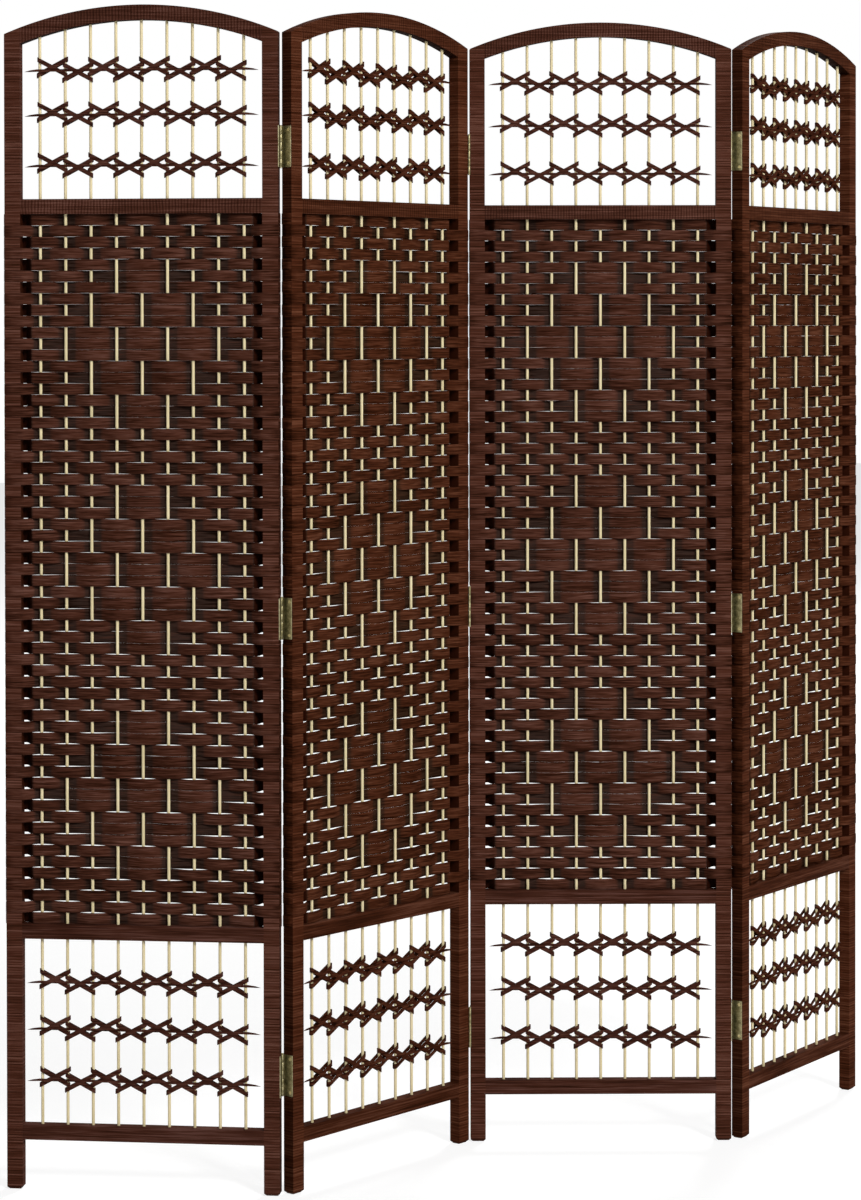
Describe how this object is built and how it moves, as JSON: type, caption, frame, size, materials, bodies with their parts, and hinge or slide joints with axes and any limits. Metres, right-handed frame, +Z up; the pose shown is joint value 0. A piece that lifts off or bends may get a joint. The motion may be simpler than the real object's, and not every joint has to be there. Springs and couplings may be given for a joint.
{
  "type": "folding screen",
  "caption": "Free-standing folding screen of arched wood frames with dark woven strips, pale rods, open crossed bands above and below, and brass hinges.",
  "frame": {"origin": "middle of the bounding box in plan, on the floor under the feet", "axes": "+Z up, -Y to the front, +X to the right as seen from the front"},
  "size_m": [1.441, 0.2274, 1.7],
  "materials": {
    "stained_wood": "dark stain, satin",
    "woven_fibre": "dark stained fibre strip, matte",
    "pale_rod": "natural, satin",
    "aged_brass": "antique, satin"
  },
  "bodies": {
    "panel_1": {"panel_1_left_stile": "stained_wood", "panel_1_right_stile": "stained_wood", "panel_1_arch_rail": "stained_wood", "panel_1_upper_rail": "stained_wood", "panel_1_lower_rail": "stained_wood", "panel_1_bottom_rail": "stained_wood", "panel_1_dowels": "stained_wood", "panel_1_rods": "pale_rod", "panel_1_woven_strips": "woven_fibre", "panel_1_upper_lattice": "woven_fibre", "panel_1_lower_lattice": "woven_fibre", "hinge_12_left_leaves": "aged_brass", "hinge_12_left_screws": "aged_brass", "hinge_12_pins": "aged_brass"},
    "panel_2": {"panel_2_left_stile": "stained_wood", "panel_2_right_stile": "stained_wood", "panel_2_arch_rail": "stained_wood", "panel_2_upper_rail": "stained_wood", "panel_2_lower_rail": "stained_wood", "panel_2_bottom_rail": "stained_wood", "panel_2_dowels": "stained_wood", "panel_2_rods": "pale_rod", "panel_2_woven_strips": "woven_fibre", "panel_2_upper_lattice": "woven_fibre", "panel_2_lower_lattice": "woven_fibre", "hinge_12_right_leaves": "aged_brass", "hinge_12_right_screws": "aged_brass", "hinge_23_left_leaves": "aged_brass", "hinge_23_left_screws": "aged_brass", "hinge_23_pins": "aged_brass"},
    "panel_3": {"panel_3_left_stile": "stained_wood", "panel_3_right_stile": "stained_wood", "panel_3_arch_rail": "stained_wood", "panel_3_upper_rail": "stained_wood", "panel_3_lower_rail": "stained_wood", "panel_3_bottom_rail": "stained_wood", "panel_3_dowels": "stained_wood", "panel_3_rods": "pale_rod", "panel_3_woven_strips": "woven_fibre", "panel_3_upper_lattice": "woven_fibre", "panel_3_lower_lattice": "woven_fibre", "hinge_23_right_leaves": "aged_brass", "hinge_23_right_screws": "aged_brass", "hinge_34_left_leaves": "aged_brass", "hinge_34_left_screws": "aged_brass", "hinge_34_pins": "aged_brass"},
    "panel_4": {"panel_4_left_stile": "stained_wood", "panel_4_right_stile": "stained_wood", "panel_4_arch_rail": "stained_wood", "panel_4_upper_rail": "stained_wood", "panel_4_lower_rail": "stained_wood", "panel_4_bottom_rail": "stained_wood", "panel_4_dowels": "stained_wood", "panel_4_rods": "pale_rod", "panel_4_woven_strips": "woven_fibre", "panel_4_upper_lattice": "woven_fibre", "panel_4_lower_lattice": "woven_fibre", "hinge_34_right_leaves": "aged_brass", "hinge_34_right_screws": "aged_brass"}
  },
  "joints": [
    {"name": "fold_12", "type": "hinge", "parent": "panel_2", "child": "panel_1", "pos_m": [-0.37095, -0.09518, 0.824], "axis": [0, 0, 1], "range_deg": [-123.5, 56.5]},
    {"name": "fold_23", "type": "hinge", "parent": "panel_2", "child": "panel_3", "pos_m": [0, 0.05227, 0.824], "axis": [0, 0, 1], "range_deg": [-130.5, 49.5]},
    {"name": "fold_34", "type": "hinge", "parent": "panel_3", "child": "panel_4", "pos_m": [0.37095, -0.09518, 0.824], "axis": [0, 0, 1], "range_deg": [-56.5, 123.5]}
  ]
}
